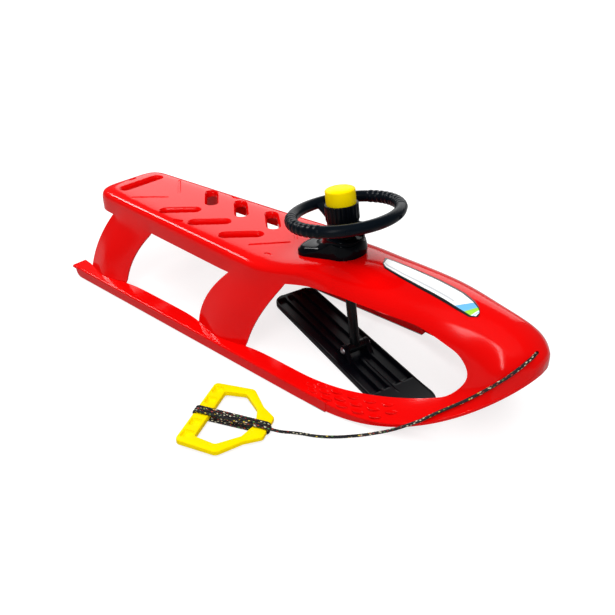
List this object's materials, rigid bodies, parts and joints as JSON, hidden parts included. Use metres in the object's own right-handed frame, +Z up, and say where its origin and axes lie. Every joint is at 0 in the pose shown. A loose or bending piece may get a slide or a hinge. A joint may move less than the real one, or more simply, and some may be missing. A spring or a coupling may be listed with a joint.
{
  "type": "steering sled",
  "caption": "Child's moulded steering sled with a slotted seat shell on runners, an open bow with footrests, a horn wheel that turns a front ski, and a tow rope with a handle.",
  "frame": {"origin": "on the ground under the middle of the sled's box, without the tow rope and its handle", "axes": "+X forward to the nose, +Y the rider's left, +Z up"},
  "size_m": [1, 0.5192, 0.3207],
  "materials": {
    "red_shell": "glossy moulded red",
    "console_black": "glossy black",
    "wheel_black": "satin black",
    "ski_black": "glossy black",
    "pin_black": "satin black",
    "horn_yellow": "glossy yellow",
    "handle_yellow": "semi-gloss yellow",
    "strip_steel": "dull steel",
    "steel": "zinc plated",
    "bush_white": "plain",
    "bellows_rubber": "matt",
    "rope": "braided black with coloured flecks"
  },
  "bodies": {
    "sled": {"sled_body": "red_shell", "strip_rivet_left_1": "strip_steel", "strip_rivet_left_2": "strip_steel", "strip_rivet_left_3": "strip_steel", "strip_rivet_right_1": "strip_steel", "strip_rivet_right_2": "strip_steel", "strip_rivet_right_3": "strip_steel", "glide_strip_left": "strip_steel", "glide_strip_right": "strip_steel", "steering_console": "console_black", "upper_bush": "bush_white", "lower_bush": "bush_white", "tow_handle": "handle_yellow", "rope_winding": "rope", "tow_rope": "rope", "rope_knot": "rope"},
    "steering": {"steering_column": "steel", "column_washer": "steel", "column_clip": "steel", "steering_wheel": "wheel_black", "horn_housing": "wheel_black", "wheel_bolt": "steel", "wheel_washer": "steel", "horn_reed": "bush_white", "horn_bellows": "bellows_rubber"},
    "ski": {"steering_ski": "ski_black", "ski_pin": "pin_black", "ski_pin_cap": "pin_black"},
    "horn": {"horn_button": "horn_yellow"}
  },
  "joints": [
    {"name": "steer", "type": "hinge", "parent": "sled", "child": "steering", "pos_m": [0.1634, 0, 0.025], "axis": [-0.153, 0, 0.9882], "range_deg": [-3, 43]},
    {"name": "ski_pitch", "type": "hinge", "parent": "steering", "child": "ski", "pos_m": [0.1634, 0, 0.025], "axis": [0.338, 0.9397, 0.0523], "range_deg": [-3, 0.5]},
    {"name": "horn_press", "type": "slide", "parent": "steering", "child": "horn", "axis": [0.153, 0, -0.9882], "range_m": [0, 0.0045], "stiffness_N_per_m": 600, "springref_m": -0.002}
  ]
}
